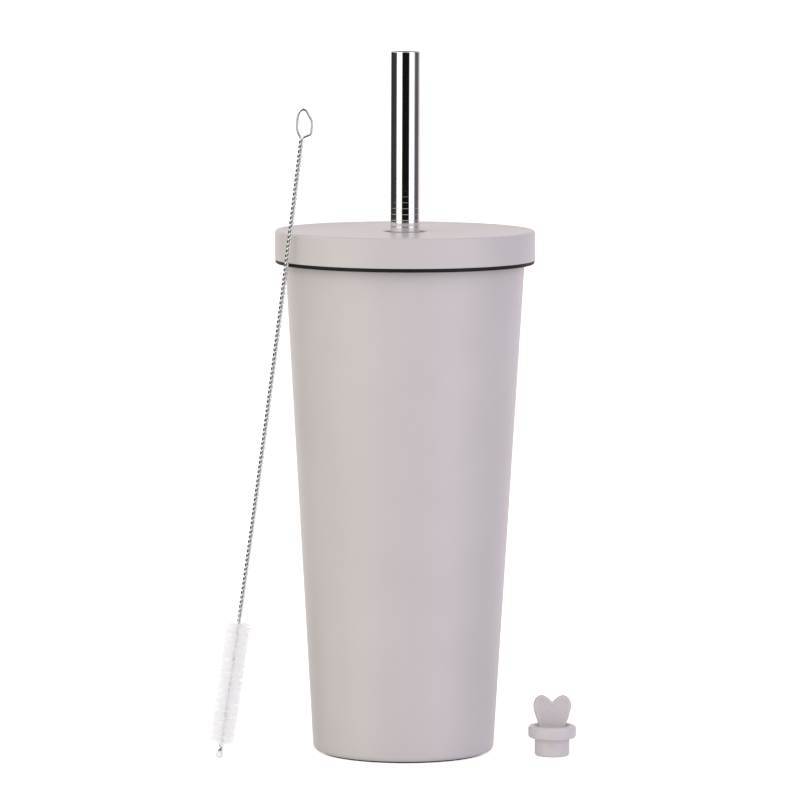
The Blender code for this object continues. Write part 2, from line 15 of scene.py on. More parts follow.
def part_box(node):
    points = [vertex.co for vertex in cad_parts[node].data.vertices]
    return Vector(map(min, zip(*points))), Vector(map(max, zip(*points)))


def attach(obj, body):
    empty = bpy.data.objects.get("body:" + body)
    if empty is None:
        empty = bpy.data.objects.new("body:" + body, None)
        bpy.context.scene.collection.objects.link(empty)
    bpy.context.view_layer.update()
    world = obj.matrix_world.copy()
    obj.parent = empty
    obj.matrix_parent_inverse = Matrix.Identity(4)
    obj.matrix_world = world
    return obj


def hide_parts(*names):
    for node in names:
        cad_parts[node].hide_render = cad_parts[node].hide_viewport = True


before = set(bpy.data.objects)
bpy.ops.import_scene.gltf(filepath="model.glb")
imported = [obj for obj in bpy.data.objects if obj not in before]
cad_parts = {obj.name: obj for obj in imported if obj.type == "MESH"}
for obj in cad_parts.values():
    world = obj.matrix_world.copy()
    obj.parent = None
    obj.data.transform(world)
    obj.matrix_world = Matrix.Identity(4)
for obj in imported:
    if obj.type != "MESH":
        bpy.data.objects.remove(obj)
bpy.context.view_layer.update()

MM = 0.001
TAU = math.tau

# ---------------------------------------------------------------- sizes

SEGMENTS = 192  # round a large turned piece
SMALL_SEGMENTS = 96
BEAD_SEGMENTS = 48
FILLET_STEP = math.radians(11)  # turn per facet in a rounded corner
SHARP = math.radians(50)
GAP = 0.3 * MM  # between neighbouring pieces

SHEET = 0.5 * MM  # steel sheet of the cup and the lid cap
FOOT_CORNER = 2.4 * MM
FOOT_FLANGE = 2.7 * MM  # height of the flange inside the foot ring
WALL_SPACE = 3.7 * MM  # from the outer wall's face to the inner vessel's
NECK_RADIUS = 45.3 * MM
NECK_DEPTH = 18.0 * MM  # from the drinking rim down to the shoulder
SHOULDER_DEPTH = 23.0 * MM
RIM_ROLL = 1.2 * MM
PRESSED_SLOPE = 1.0 * MM  # width and fillet of the slopes of a raised ring
PLATE_DIMPLE = 1.4 * MM
PORT_RADIUS = 0.75 * MM
PAD_STEP_RADIUS = 29.8 * MM
PAD_RIM = 0.35 * MM
PAD_GROOVES = 6
PAD_GROOVE_DEPTH = 0.12 * MM

THREAD_LEAD = 4.0 * MM
THREAD_TURNS = 1.25
THREAD_HEIGHT = 0.95 * MM
THREAD_HALF_WIDTH = 1.1 * MM
THREAD_FADE = 0.12  # share of a turn over which a ridge's end sinks into the wall
THREAD_START_BELOW_RIM = 11.0 * MM
THREAD_STEP = 0.16 * MM  # between the points of a wall that carries a thread

LID_DISH = 0.6 * MM
STRAW_HOLE_COLLAR = 2.1 * MM
PLUG_WALL_RADIUS = 43.9 * MM
LINER_WEB = 1.8 * MM
LINER_PLUG_WALL = 2.0 * MM
LINER_LIP_TOP = 0.08 * MM  # below the cap's edge
LINER_LIP_BOTTOM = 1.55 * MM
SEAL_WIDTH = 4.2 * MM
SEAL_LIP = 1.2 * MM
GROMMET_WALL = 1.7 * MM  # from the groove that holds the lid out to the foot
GROMMET_COLLAR = 1.2 * MM
GROMMET_GROOVE = 2.4 * MM

STRAW_WALL = 0.5 * MM
RING_COUNT = 9  # grip rings, sunk into the straw where it leaves the lid
RING_FIRST = 1.5 * MM  # from the lid's top up to the lowest ring
RING_PITCH = 2.36 * MM
RING_HALF = 0.24 * MM
RING_DEPTH = 0.022 * MM

PLUG_FLANGE_TOP = 12.2 * MM
PLUG_FLANGE_THICKNESS = 5.0 * MM
PLUG_DISH_DEPTH = 1.3 * MM
PLUG_VOXEL = 0.17 * MM
HEART_NOTCH = 2.8 * MM  # below the tops of the lobes
HEART_WIDEST = 4.3 * MM  # below them too
HEART_HALF_WIDTH = 7.6 * MM
HEART_THICKNESS = 3.0 * MM
HEART_EDGE = 0.8 * MM
HEART_BORDER = 1.7 * MM
HEART_RECESS = 0.4 * MM
HEART_ROOT = 1.0 * MM  # how deep the heart's stem goes into the flange
HEART_ROOT_FADE = 2.5 * MM

STRAND_RADIUS = 0.48 * MM
STRAND_OFFSET = 0.47 * MM  # of each of the two twisted wires from their common line
STRAND_STEP = 0.28 * MM
TWIST_LEAD = 3.76 * MM
TWIST_LEAD_IN_BRISTLES = 5.1 * MM
BRUSH_BOW = 1.0 * MM
LOOP_HEIGHT = 11.4 * MM
LOOP_SAMPLE = 10 * MM  # how much of the CAD loop's height is averaged to find its middle
LOOP_OFFSET = 0.4 * MM  # how far the CAD loop's middle stands to one side of the wire
LOOP_SWAY = 0.35 * MM
BRISTLE_RADIUS = 5.0 * MM
FILAMENTS = 4200
FILAMENT_RADIUS = 0.042 * MM
FILAMENT_SPREAD = 0.65  # radians round the wire
FILAMENT_FAN = 0.85 * MM
FILAMENT_CURL = 0.25 * MM
FILAMENT_DRIFT = 0.06  # radians from a filament's middle to its end
BEAD_SWELL = 0.08

# ---------------------------------------------------------------- colours and studio

WHITE = (1.0, 1.0, 1.0)
BLACK = (0.004, 0.004, 0.005)
PAINT = (0.53, 0.5, 0.505)
PLUG_GREY = (0.59, 0.562, 0.573)
SEAL_CLEAR = (0.78, 0.78, 0.77)
NYLON = (0.6, 0.59, 0.61)
# painted shade: the darker colour that the bristles take where they are seen edge-on
NYLON_EDGE_SHADE = (0.53, 0.52, 0.54)
# painted glow: the bristles give off light of their own, standing in for light scattered between the
# filaments
NYLON_PAINTED_GLOW = 0.21
BEAD = (0.76, 0.76, 0.77)
# painted shade: the darker colour that the bead takes where it is seen edge-on
BEAD_EDGE_SHADE = (0.42, 0.42, 0.43)
# painted glow: the bead gives off light of its own, standing in for light scattered through it
BEAD_PAINTED_GLOW = 0.1

CAMERA_PLACE = (-1.8 * MM, -2.4, 0.374)
CAMERA_PITCH = math.radians(5.545)
CAMERA_ROLL = math.radians(0.2)
CAMERA_LENS = 272.4

FLOOR_REACH = 12.0
FLOOR_DROP = 0.02 * MM
FLOOR_GLOW = 0.25  # the floor's own light, as it reaches the pieces
FLOOR_SEEN_GLOW = 0.6  # the same, as the camera sees it
BOX_SIZE = (1.4, 1.6)
LEFT_BOX = (-1.3, -1.1, 1.0)
LEFT_POWER = 11.5
WARM = (1.0, 0.972, 0.819)
RIGHT_BOX = (1.4, -1.0, 0.9)
RIGHT_POWER = 10.0
COOL = (0.833, 0.807, 1.0)
BOX_AIM = Vector((0, 0, 0.1))

# The light on matte surfaces, by direction: first from left (0) to right (1), then from below (0) to above.
FILL_STOPS = [(0.0, (0.68, 0.66, 0.585)), (1.0, (0.495, 0.465, 0.555))]
FILL_HEIGHT_STOPS = [(0.4, (0.9, 0.9, 0.9)), (0.95, (1.3, 1.3, 1.3))]
MIRROR_STRENGTH = 1.6
# What a mirror sees at each azimuth from the camera's own direction, in degrees, positive to the right.
MIRRORED_STUDIO = [
    (-180, (0.75, 0.68, 0.68)),
    (-150, (0.75, 0.68, 0.68)),
    (-140, (0.02, 0.018, 0.019)),
    (-74, (0.03, 0.027, 0.029)),
    (-65, (0.85, 0.85, 0.8)),
    (-30, (0.88, 0.88, 0.815)),
    (-24, BLACK),
    (26, BLACK),
    (34, (0.96, 0.94, 1.0)),
    (62, (0.96, 0.94, 1.0)),
    (78, (0.07, 0.065, 0.075)),
    (110, (0.06, 0.06, 0.065)),
    (122, (0.37, 0.34, 0.34)),
    (150, (0.75, 0.68, 0.68)),
    (180, (0.75, 0.68, 0.68)),
]
# The same for what hangs above the mirror's horizon: a big light up on the left, and little over the camera.
MIRRORED_CEILING = [
    (-180, (0.12, 0.12, 0.12)),
    (-140, (0.12, 0.12, 0.12)),
    (-120, (1.0, 0.99, 0.96)),
    (-40, (1.0, 0.99, 0.96)),
    (-24, (0.15, 0.15, 0.15)),
    (60, (0.15, 0.15, 0.15)),
    (180, (0.12, 0.12, 0.12)),
]
# How strongly the ceiling and the walls are seen, from straight down (0) to straight up (1).
CEILING_STOPS = [(0.6, BLACK), (0.69, WHITE), (0.88, WHITE), (0.94, BLACK)]
WALL_STOPS = [(0.2, (0.15, 0.15, 0.15)), (0.42, WHITE)]


# ---------------------------------------------------------------- measuring the frame and riding on it


def low(node):
    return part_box(node)[0]


def high(node):
    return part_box(node)[1]


def outer_radius(node):
    return (high(node).x - low(node).x) / 2


def node_points(node):
    """The CAD node's vertices at rest, one row each."""
    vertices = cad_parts[node].data.vertices
    points = np.empty(len(vertices) * 3, np.float32)
    vertices.foreach_get("co", points)
    return points.reshape(-1, 3).astype(float)


def inner_radius(node, z, within):
    """The smallest distance from the cup's axis among the node's points near a height."""
    points = node_points(node)
    near = points[np.abs(points[:, 2] - z) < within]
    return np.hypot(near[:, 0], near[:, 1]).min()


def finish_piece(obj, body, node):
    """The piece moves with its body, and the CAD node that it stands for is hidden."""
    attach(obj, body)
    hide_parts(node)


# ---------------------------------------------------------------- profiles and turned meshes


def rounded(corners, closed=False):
    """Replaces each corner (r, z, fillet radius) by an arc tangent to its two sides."""
    count = len(corners)
    path = []
    for i, (r, z, fillet) in enumerate(corners):
        here = Vector((r, z))
        if fillet <= 0 or (not closed and i in (0, count - 1)):
            path.append(here)
            continue
        before = Vector(corners[i - 1][:2]) - here
        after = Vector(corners[(i + 1) % count][:2]) - here
        turn = before.angle(after)
        cut = min(fillet / math.tan(turn / 2), before.length * 0.499, after.length * 0.499)
        radius = cut * math.tan(turn / 2)
        centre = here + (before.normalized() + after.normalized()).normalized() * radius / math.sin(turn / 2)
        start = here + before.normalized() * cut - centre
        end = here + after.normalized() * cut - centre
        sweep = start.angle(end)
        steps = max(2, round(sweep / FILLET_STEP))
        spin = 1.0 if start.cross(end) > 0 else -1.0
        for k in range(steps + 1):
            path.append(centre + Matrix.Rotation(spin * sweep * k / steps, 2) @ start)
    return [(p.x, p.y) for p in path]


def densified(path, longest):
    """Adds points so that no stretch of the path is longer than this."""
    result = [path[0]]
    for a, b in zip(path, path[1:]):
        steps = max(1, math.ceil(math.dist(a, b) / longest))
        for k in range(1, steps + 1):
            result.append((a[0] + (b[0] - a[0]) * k / steps, a[1] + (b[1] - a[1]) * k / steps))
    return result


def sheet_loop(path):
    """Closes an outer face's path into the loop of a sheet whose other face lies inside it."""
    points = np.array(path)
    along = np.diff(points, axis=0)
    along /= np.linalg.norm(along, axis=1)[:, None]
    normals = np.column_stack([-along[:, 1], along[:, 0]])
    corner = np.vstack([normals[:1], normals[:-1] + normals[1:], normals[-1:]])
    corner[1:-1] /= (corner[1:-1] * normals[1:]).sum(1)[:, None]
    inner = points - corner * SHEET
    if path[0][0] == 0.0:
        inner[0, 0] = 0.0
    return [tuple(p) for p in points] + [tuple(p) for p in inner[::-1]]


def mesh_object(name, vertices, faces, material):
    mesh = bpy.data.meshes.new(name)
    mesh.from_pydata([tuple(v) for v in vertices], [], faces)
    mesh.materials.append(material)
    mesh.validate()
    mesh.shade_smooth()
    mesh.set_sharp_from_angle(angle=SHARP)
    obj = bpy.data.objects.new(name, mesh)
    bpy.context.scene.collection.objects.link(obj)
    return obj


def turned(name, path, material, closed=False, segments=SEGMENTS, place=(0, 0, 0)):
    """Turns a path of (r, z) points, running down its outer side, about the Z axis."""
    vertices = []
    rings = []
    for r, z in path:
        if r < 1e-7:
            rings.append([len(vertices)] * segments)
            vertices.append((0.0, 0.0, z))
            continue
        rings.append(list(range(len(vertices), len(vertices) + segments)))
        angles = (TAU * k / segments for k in range(segments))
        vertices += [(r * math.cos(a), r * math.sin(a), z) for a in angles]
    faces = []
    spans = list(zip(rings, rings[1:]))
    if closed:
        spans.append((rings[-1], rings[0]))
    for upper, lower in spans:
        for k in range(segments):
            n = (k + 1) % segments
            corners = [upper[k], lower[k], lower[n], upper[n]]
            face = [c for i, c in enumerate(corners) if c not in corners[:i]]
            if len(face) > 2:
                faces.append(face)
    obj = mesh_object(name, vertices, faces, material)
    obj.data.transform(Matrix.Translation(Vector(place)))
    return obj


def raised_ring(inner, outer, level, height):
    """Corners of a low, flat-topped ring pressed up from a level face, between two radii."""
    slope = PRESSED_SLOPE
    return [
        (inner, level, slope),
        (inner + slope, level + height, slope),
        (outer - slope, level + height, slope),
        (outer, level, slope),
    ]


def with_thread_points(path, radius, highest=math.inf):
    """Adds close points along the stretch of a path that runs straight down at a radius."""
    run = [i for i, (r, z) in enumerate(path) if abs(r - radius) < 1e-6 and z < highest]
    fine = densified(path[run[0] : run[-1] + 1], THREAD_STEP)
    return path[: run[0]] + fine + path[run[-1] + 1 :]


def add_thread(obj, wall_radius, within, start_z, height):
    """Presses a right-handed thread into a turned wall. height is positive where the ridge stands outward."""
    mesh = obj.data
    points = np.empty(len(mesh.vertices) * 3)
    mesh.vertices.foreach_get("co", points)
    points = points.reshape(-1, 3)
    reach = np.hypot(points[:, 0], points[:, 1])
    turn = (np.arctan2(points[:, 1], points[:, 0]) / TAU) % 1.0
    push = np.zeros(len(points))
    for lap in range(math.ceil(THREAD_TURNS) + 1):
        along = turn + lap
        off = (points[:, 2] - (start_z + THREAD_LEAD * along)) / THREAD_HALF_WIDTH
        ends = np.clip(np.minimum(along, THREAD_TURNS - along) / THREAD_FADE, 0.0, 1.0)
        ridge = np.where(np.abs(off) < 1, np.cos(off * math.pi / 2) ** 2, 0.0)
        push = np.maximum(push, ridge * ends)
    on_wall = np.abs(reach - wall_radius) < within
    scale = 1.0 + np.where(on_wall, push * height / np.maximum(reach, 1e-6), 0.0)
    points[:, 0] *= scale
    points[:, 1] *= scale
    mesh.vertices.foreach_set("co", points.ravel())
    mesh.update()


def tube(path, radius, sides):
    """Vertices and faces of a round tube along a path, turned as little as possible from point to point."""
    points = np.array([tuple(p) for p in path], float)
    steps = np.diff(points, axis=0)
    tangents = np.vstack([steps[:1], steps[1:] + steps[:-1], steps[-1:]])
    tangents /= np.linalg.norm(tangents, axis=1)[:, None]
    side = Vector(tangents[0]).orthogonal().normalized()
    vertices = []
    for point, tangent in zip(points, tangents):
        tangent = Vector(tangent)
        side = (side - tangent * side.dot(tangent)).normalized()
        up = tangent.cross(side)
        for k in range(sides):
            a = TAU * k / sides
            vertices.append(Vector(point) + (side * math.cos(a) + up * math.sin(a)) * radius)
    faces = []
    last = (len(points) - 1) * sides
    for ring in range(0, last, sides):
        for k in range(sides):
            m = (k + 1) % sides
            faces.append([ring + k, ring + m, ring + sides + m, ring + sides + k])
    faces.append(list(range(sides))[::-1])
    faces.append([last + k for k in range(sides)])
    return vertices, faces


# ---------------------------------------------------------------- materials


class Nodes:
    """Short ways to add linked nodes to a node tree."""

    def __init__(self, tree):
        self.tree = tree

    def node(self, kind, inputs=None, **settings):
        """A new node, whose inputs take plain values or other nodes' outputs."""
        made = self.tree.nodes.new(kind)
        for key, value in settings.items():
            setattr(made, key, value)
        for key, value in (inputs or {}).items():
            if isinstance(value, bpy.types.NodeSocket):
                self.tree.links.new(value, made.inputs[key])
            else:
                made.inputs[key].default_value = value
        return made

    def maths(self, operation, a, b):
        return self.node("ShaderNodeMath", {0: a, 1: b}, operation=operation).outputs[0]

    def ramp(self, factor, stops):
        """A colour that follows a factor through (position, colour) stops."""
        made = self.node("ShaderNodeValToRGB", {"Fac": factor})
        elements = made.color_ramp.elements
        while len(elements) < len(stops):
            elements.new(0.5)
        for element, (position, colour) in zip(elements, stops):
            element.position = position
            element.color = (*colour, 1.0)
        return made.outputs["Color"]

    def mix(self, first, second, kind="MIX", factor=1.0):
        """The second colour over the first, in one of the mix node's ways."""
        made = self.node("ShaderNodeMix", {"Factor": factor}, data_type="RGBA", blend_type=kind)
        colours = [socket for socket in made.inputs if socket.type == "RGBA"]
        self.tree.links.new(first, colours[0])
        self.tree.links.new(second, colours[1])
        return [socket for socket in made.outputs if socket.type == "RGBA"][0]


class Shader(Nodes):
    """A material whose Principled inputs are fed by short chains of nodes, in the object's own metres."""

    def __init__(self, name, metallic=0.0):
        self.material = bpy.data.materials.new(name)
        self.material.use_nodes = True
        super().__init__(self.material.node_tree)
        self.bsdf = self.tree.nodes["Principled BSDF"]
        self.set("Metallic", metallic)
        self.coords = self.node("ShaderNodeTexCoord").outputs["Object"]

    def set(self, socket, value):
        self.bsdf.inputs[socket].default_value = value

    def link(self, source, socket):
        self.tree.links.new(source, self.bsdf.inputs[socket])

    def stretched(self, scale):
        """The object's coordinates, scaled by three factors."""
        return self.node("ShaderNodeMapping", {"Vector": self.coords, "Scale": scale}).outputs["Vector"]

    def noise(self, size, detail=2.0, rough=0.5, coords=None):
        """Noise whose features are about this many metres across."""
        inputs = {"Vector": coords or self.coords, "Scale": 1 / size, "Detail": detail, "Roughness": rough}
        return self.node("ShaderNodeTexNoise", inputs).outputs["Fac"]

    def spin_lines(self, pitch, detail=3.0):
        """Fine lines round the Z axis, as a lathe or a polishing wheel leaves them."""
        return self.noise(pitch, detail, 0.6, self.stretched((0.02, 0.02, 1.0)))

    def between(self, factor, at_low, at_high, lowest=0.3, highest=0.7):
        """A value that follows a factor from one number to another."""
        span = {"From Min": lowest, "From Max": highest, "To Min": at_low, "To Max": at_high}
        return self.node("ShaderNodeMapRange", {"Value": factor, **span}).outputs["Result"]

    def tint(self, factor, first, second, lowest=0.3, highest=0.7):
        """A colour that follows a factor from one colour to another."""
        return self.ramp(factor, [(lowest, first), (highest, second)])

    def bump(self, height, depth, strength):
        made = self.node("ShaderNodeBump", {"Height": height, "Distance": depth, "Strength": strength})
        self.link(made.outputs["Normal"], "Normal")


def shades(colour, spread):
    """The colour a little darker, and the colour a little lighter."""
    return tuple(c * (1 - spread) for c in colour), tuple(c * (1 + spread) for c in colour)


def powder_coat():
    """Fine matte powder coat: a soft orange peel, a finer grain and a faint speckle."""
    shader = Shader("powder_coat")
    peel = shader.noise(0.55 * MM)
    grain = shader.noise(0.14 * MM, 3.0, 0.6)
    cloud = shader.noise(28 * MM)
    speckle = shader.maths("ADD", shader.maths("MULTIPLY", grain, 0.5), shader.maths("MULTIPLY", cloud, 0.5))
    shader.link(shader.tint(speckle, *shades(PAINT, 0.025), 0.38, 0.62), "Base Color")
    shader.link(shader.between(grain, 0.34, 0.44), "Roughness")
    height = shader.maths("ADD", shader.maths("MULTIPLY", peel, 0.6), shader.maths("MULTIPLY", grain, 0.4))
    shader.bump(height, 0.02 * MM, 0.5)
    return shader.material


def black_plastic():
    """Satin black moulding with the faint texture of its mould."""
    shader = Shader("black_plastic")
    grain = shader.noise(0.3 * MM, 3.0)
    shader.link(shader.tint(grain, (0.009, 0.009, 0.01), (0.018, 0.017, 0.018)), "Base Color")
    shader.link(shader.between(grain, 0.42, 0.56), "Roughness")
    shader.set("Specular IOR Level", 0.2)
    shader.bump(grain, 0.01 * MM, 0.6)
    return shader.material


def polished_steel():
    """Mirror-polished tube with hair-fine lines round it, and a rougher bore, where no wheel reaches, whose
    colour is painted dark for the shade inside the tube.
    """
    shader = Shader("polished_steel", 1.0)
    lines = shader.spin_lines(0.22 * MM)
    wear = shader.noise(6 * MM, 3.0)
    bore = outer_radius("straw") - STRAW_WALL
    from_axis = {0: shader.stretched((1.0, 1.0, 0.0))}
    reach = shader.node("ShaderNodeVectorMath", from_axis, operation="LENGTH").outputs["Value"]
    outside = shader.between(reach, 0.0, 1.0, bore + 0.05 * MM, bore + 0.15 * MM)
    skin = shader.tint(wear, (0.9, 0.885, 0.875), (0.95, 0.94, 0.935))
    # painted shade: the bore's colour is darkened to stand for the shade inside the tube
    bore_shade = shader.tint(lines, (0.16, 0.155, 0.15), (0.24, 0.235, 0.23))
    shader.link(shader.mix(bore_shade, skin, factor=outside), "Base Color")
    shine = shader.between(shader.maths("MULTIPLY", lines, wear), 0.03, 0.085, 0.15, 0.4)
    shader.link(shader.maths("MAXIMUM", shine, shader.between(outside, 0.45, 0.0, 0.0, 1.0)), "Roughness")
    shader.bump(lines, 0.0012 * MM, 0.5)
    return shader.material


def brushed_steel():
    """Satin stainless with lines round the axis."""
    shader = Shader("brushed_steel", 1.0)
    lines = shader.spin_lines(0.25 * MM, 4.0)
    cloud = shader.noise(12 * MM)
    shader.link(shader.tint(lines, (0.54, 0.534, 0.528), (0.648, 0.642, 0.633)), "Base Color")
    shader.link(shader.between(shader.maths("MULTIPLY", lines, cloud), 0.22, 0.42, 0.1, 0.45), "Roughness")
    shader.bump(lines, 0.006 * MM, 0.7)
    return shader.material


def wire_steel():
    """Galvanised wire: a bright, slightly frosted zinc skin with draw marks along it."""
    shader = Shader("wire_steel", 1.0)
    marks = shader.noise(0.5 * MM, 3.0)
    shader.link(shader.tint(marks, (0.74, 0.74, 0.75), (0.92, 0.92, 0.92)), "Base Color")
    shader.link(shader.between(marks, 0.06, 0.18), "Roughness")
    shader.bump(marks, 0.004 * MM, 0.4)
    return shader.material


def dark_silicone():
    """Matte dark rubber with fine dust in its texture."""
    shader = Shader("dark_silicone")
    grain = shader.noise(0.25 * MM, 4.0, 0.6)
    shader.link(shader.tint(grain, (0.02, 0.02, 0.021), (0.045, 0.045, 0.047)), "Base Color")
    shader.link(shader.between(grain, 0.55, 0.75), "Roughness")
    shader.bump(grain, 0.015 * MM, 0.7)
    return shader.material


def soft_silicone(name, colour, clear, depth):
    """Translucent silicone that scatters light, with the faint bloom of its surface."""
    shader = Shader(name)
    bloom = shader.noise(1.3 * MM, 3.0)
    grain = shader.noise(0.18 * MM, 3.0)
    shader.link(shader.tint(bloom, *shades(colour, 0.02)), "Base Color")
    shader.link(shader.between(bloom, 0.36, 0.5), "Roughness")
    shader.set("Subsurface Weight", clear)
    shader.set("Subsurface Radius", (1.0, 0.95, 0.95))
    shader.set("Subsurface Scale", depth)
    shader.set("IOR", 1.42)
    shader.bump(grain, 0.006 * MM, 0.5)
    return shader.material


def clear_nylon(name, colour, edge, glow):
    """Clear nylon, given a painted glow that stands in for the light scattered through it, and painted shade
    that makes it greyer edge-on.
    """
    shader = Shader(name)
    streak = shader.noise(0.7 * MM, 3.0)
    # painted shade: the colour turns darker where the surface is seen edge-on, mixed with random streaks
    facing = shader.node("ShaderNodeLayerWeight", {"Blend": 0.5}).outputs["Facing"]
    edge_shade_and_streaks = shader.maths("ADD", facing, shader.maths("MULTIPLY", streak, 0.1))
    shader.link(shader.tint(edge_shade_and_streaks, colour, edge, 0.15, 0.9), "Base Color")
    shader.link(shader.between(streak, 0.22, 0.4), "Roughness")
    shader.set("Subsurface Weight", 1.0)
    shader.set("Subsurface Radius", (1.0, 1.0, 1.0))
    shader.set("Subsurface Scale", 1.5 * MM)
    # painted glow: the emission stands in for light scattered through the clear nylon
    shader.set("Emission Color", (1.0, 0.985, 1.0, 1.0))
    shader.set("Emission Strength", glow)
    shader.bump(streak, 0.004 * MM, 0.4)
    return shader.material


def solder_glass():
    """Dark amber solder glass with small bubbles."""
    shader = Shader("solder_glass")
    cells = shader.node("ShaderNodeTexVoronoi", {"Vector": shader.coords, "Scale": 1 / (0.7 * MM)})
    distance = cells.outputs["Distance"]
    shader.link(shader.tint(distance, (0.3, 0.2, 0.1), (0.12, 0.07, 0.035), 0.1, 0.5), "Base Color")
    shader.link(shader.between(distance, 0.3, 0.08, 0.0, 0.4), "Roughness")
    shader.set("Coat Weight", 0.4)
    shader.bump(distance, 0.03 * MM, 0.5)
    return shader.material


def getter_metal():
    """Sintered, grainy grey metal."""
    shader = Shader("getter_metal", 1.0)
    grit = shader.noise(0.2 * MM, 5.0, 0.7)
    shader.link(shader.tint(grit, (0.2, 0.2, 0.21), (0.42, 0.42, 0.43)), "Base Color")
    shader.link(shader.between(grit, 0.5, 0.8), "Roughness")
    shader.bump(grit, 0.06 * MM, 0.8)
    return shader.material


# ---------------------------------------------------------------- the cup


def wall_line():
    """The tapered outer wall's radius as a function of height, from the CAD shell's top and foot corner."""
    points = node_points("outer_shell")
    reach = np.hypot(points[:, 0], points[:, 1])
    top = high("outer_shell").z
    top_radius = reach[points[:, 2] > top - 0.05 * MM].max()
    foot_part = np.where(points[:, 2] < top / 2, reach, 0.0)
    corner = foot_part.argmax()
    slope = (top_radius - foot_part[corner]) / (top - points[corner, 2])
    return lambda z: top_radius + slope * (z - top)


def outer_shell(material):
    """The painted wall, its rounded foot corner, the ring it stands on and the flange inside the ring."""
    top = high("outer_shell").z
    foot = low("outer_shell").z
    flange_radius = inner_radius("outer_shell", foot + FOOT_FLANGE, 0.4 * MM)
    corners = [
        (wall(top), top, 0),
        (wall(foot), foot, FOOT_CORNER),
        (flange_radius, foot, 0.8 * MM),
        (flange_radius, foot + FOOT_FLANGE, 0),
    ]
    path = densified(rounded(corners), 12 * MM)
    obj = turned("shell_wall", sheet_loop(path), material, closed=True)
    finish_piece(obj, "cup", "outer_shell")


def inner_liner(material):
    """The bare steel vessel: floor with a raised ring, taper, shoulder, threaded neck and rolled rim."""
    rim = high("inner_liner").z
    floor = low("straw").z - GAP
    shoulder = rim - SHOULDER_DEPTH
    lip = NECK_RADIUS + 2 * RIM_ROLL
    corners = [
        (0.0, floor, 0),
        *raised_ring(11 * MM, 19 * MM, floor, 0.25 * MM),
        (wall(floor) - WALL_SPACE, floor, 8 * MM),
        (wall(shoulder) - WALL_SPACE, shoulder, 6 * MM),
        (NECK_RADIUS, rim - NECK_DEPTH, 6 * MM),
        (NECK_RADIUS, rim, RIM_ROLL),
        (lip, rim, RIM_ROLL),
        (lip, rim - RIM_ROLL, 0),
    ]
    path = with_thread_points(densified(rounded(corners), 6 * MM), NECK_RADIUS)
    obj = turned("inner_vessel", sheet_loop(path), material)
    add_thread(obj, NECK_RADIUS + SHEET / 2, 0.4 * MM, rim - THREAD_START_BELOW_RIM, -THREAD_HEIGHT)
    finish_piece(obj, "cup", "inner_liner")


def base_plate(material):
    """The dished closing plate, its rim turned down and a dimple pressed round the vacuum port."""
    top = high("base_plate").z
    rim = outer_radius("base_plate")
    face = top - PLATE_DIMPLE
    corners = [
        (PORT_RADIUS, top, 0),
        (4.6 * MM, top, 0.5 * MM),
        (5.5 * MM, face, 0.7 * MM),
        *raised_ring(20 * MM, 25 * MM, face, 0.3 * MM),
        (rim, face, 0.6 * MM),
        (rim, low("base_plate").z, 0),
    ]
    obj = turned("closing_plate", sheet_loop(rounded(corners)), material, closed=True)
    finish_piece(obj, "cup", "base_plate")


def port_bead(material):
    """The bead of solder glass, sagged where it melted."""
    top = high("port_bead").z
    bottom = low("port_bead").z
    radius = outer_radius("port_bead")
    shoulder = top - 0.05 * MM
    steps = 9
    path = [(0.0, top), (radius * 0.97, top)]
    for k in range(1, steps):
        angle = math.pi / 2 * k / steps
        path.append((radius * math.cos(angle), shoulder - (shoulder - bottom) * math.sin(angle)))
    path.append((0.0, bottom))
    obj = turned("port_glass", path, material, segments=SMALL_SEGMENTS)
    finish_piece(obj, "cup", "port_bead")


def getter(material):
    """The getter pellet with its pressed edge."""
    lowest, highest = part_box("getter")
    radius = outer_radius("getter")
    corners = [
        (0.0, highest.z, 0),
        (radius * 0.55, highest.z, 0.2 * MM),
        (radius * 0.62, highest.z - 0.15 * MM, 0.2 * MM),
        (radius * 0.7, highest.z, 0.2 * MM),
        (radius, highest.z, 0.35 * MM),
        (radius, lowest.z, 0.2 * MM),
        (0.0, lowest.z, 0),
    ]
    centre = (lowest + highest) / 2
    place = (centre.x, centre.y, 0)
    obj = turned("getter_pellet", rounded(corners), material, segments=SMALL_SEGMENTS, place=place)
    finish_piece(obj, "cup", "getter")


def base_pad(material):
    """The dark non-slip pad: a thin rim under the foot ring and shallow grip grooves underneath."""
    top = high("base_pad").z
    radius = outer_radius("base_pad")
    corners = [
        (0.0, top, 0),
        (PAD_STEP_RADIUS, top, 0.3 * MM),
        (PAD_STEP_RADIUS, PAD_RIM, 0),
        (radius, PAD_RIM, 0.1 * MM),
        (radius, 0.0, 0.12 * MM),
    ]
    for k in range(PAD_GROOVES):
        r = radius - (3 + 2.2 * k) * MM
        corners += [(r + 0.5 * MM, 0.0, 0.1 * MM), (r + 0.3 * MM, PAD_GROOVE_DEPTH, 0.1 * MM)]
        corners += [(r - 0.3 * MM, PAD_GROOVE_DEPTH, 0.1 * MM), (r - 0.5 * MM, 0.0, 0.1 * MM)]
    corners.append((0.0, 0.0, 0))
    obj = turned("non_slip_pad", rounded(corners), material)
    finish_piece(obj, "cup", "base_pad")


# ---------------------------------------------------------------- the lid


def lid_cap(material):
    """The painted cap: straight side, small round at the top, shallow dish and collared straw hole."""
    top = high("lid_cap").z
    radius = outer_radius("lid_cap")
    collar = top - STRAW_HOLE_COLLAR
    hole = inner_radius("lid_cap", collar, 0.3 * MM)
    dish = top - LID_DISH
    corners = [
        (hole, collar, 0),
        (hole, dish, 0.8 * MM),
        (radius - 9 * MM, dish, 20 * MM),
        (radius - 3.2 * MM, top, 4 * MM),
        (radius, top, 1.1 * MM),
        (radius, low("lid_cap").z, 0),
    ]
    path = densified(rounded(corners), 4 * MM)
    obj = turned("lid_cover", sheet_loop(path), material, closed=True)
    finish_piece(obj, "lid", "lid_cap")


